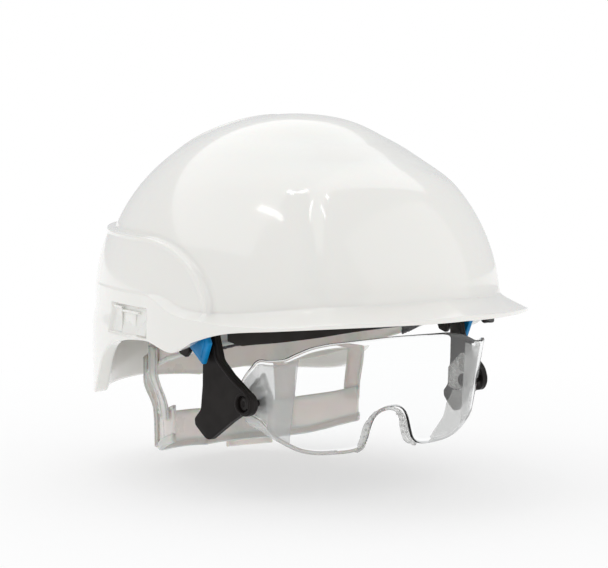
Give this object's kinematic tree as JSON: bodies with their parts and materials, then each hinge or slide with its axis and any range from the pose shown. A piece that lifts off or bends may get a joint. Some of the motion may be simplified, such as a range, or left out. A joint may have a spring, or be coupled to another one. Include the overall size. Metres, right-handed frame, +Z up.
{
  "type": "industrial safety helmet",
  "caption": "White safety helmet with a short peak, a webbing harness, an adjustable headband and clear wrap-around eyewear that swings down on two arms.",
  "frame": {"origin": "middle of the head opening, level with the lower edge of the front brim", "axes": "+Z up, -Y towards the front of the helmet, +X towards the wearer's left"},
  "size_m": [0.219, 0.2855, 0.2093],
  "materials": {
    "shell_plastic": "gloss moulded ABS",
    "black_rubber": "matt seal",
    "black_plastic": "fine moulded grain",
    "blue_plastic": "satin moulded",
    "pin_steel": "turned",
    "natural_plastic": "translucent unpigmented polyethylene",
    "sweatband_cloth": "brushed towelling over foam",
    "webbing": "woven polyester",
    "pad_foam": "fabric-faced foam",
    "clear_lens": "clear polycarbonate",
    "soft_clear": "clear soft plastic, slightly frosted"
  },
  "bodies": {
    "helmet": {"outer_shell": "shell_plastic", "brow_seal": "black_rubber", "accessory_slot_l": "shell_plastic", "accessory_slot_r": "shell_plastic", "arm_bracket_l": "black_plastic", "arm_bracket_r": "black_plastic", "lock_clip_l": "blue_plastic", "lock_clip_r": "blue_plastic", "pivot_pin_l": "pin_steel", "pivot_pin_r": "pin_steel", "lug_front_l": "natural_plastic", "lug_front_r": "natural_plastic", "lug_rear_l": "natural_plastic", "lug_rear_r": "natural_plastic", "hanger_front_l": "natural_plastic", "hanger_front_r": "natural_plastic", "hanger_rear_l": "natural_plastic", "hanger_rear_r": "natural_plastic", "headband": "natural_plastic", "sweatband": "sweatband_cloth", "strap_cross_a": "webbing", "strap_cross_b": "webbing", "strap_long": "webbing", "crown_pad": "pad_foam"},
    "nape": {"nape_band": "natural_plastic", "size_buckle": "natural_plastic", "strut_side_l": "natural_plastic", "strut_side_r": "natural_plastic", "strut_rear_l": "natural_plastic", "strut_rear_r": "natural_plastic"},
    "eyewear": {"eyewear_arm_l": "black_plastic", "eyewear_arm_r": "black_plastic", "boss_screw_l": "black_plastic", "boss_screw_r": "black_plastic"},
    "lens_frame": {"lens": "clear_lens", "nose_bridge": "soft_clear", "lens_clip_l": "soft_clear", "lens_clip_r": "soft_clear"}
  },
  "joints": [
    {"name": "eyewear_swing", "type": "hinge", "parent": "helmet", "child": "eyewear", "pos_m": [0, 0.03, -0.01], "axis": [-1, 0, 0], "range_deg": [0, 13]},
    {"name": "lens_tilt", "type": "hinge", "parent": "eyewear", "child": "lens_frame", "pos_m": [0, -0.0615, -0.0475], "axis": [-1, 0, 0], "range_deg": [-3, 3]},
    {"name": "nape_slide", "type": "slide", "parent": "helmet", "child": "nape", "axis": [0, 1, 0], "range_m": [0, 0.012]}
  ]
}
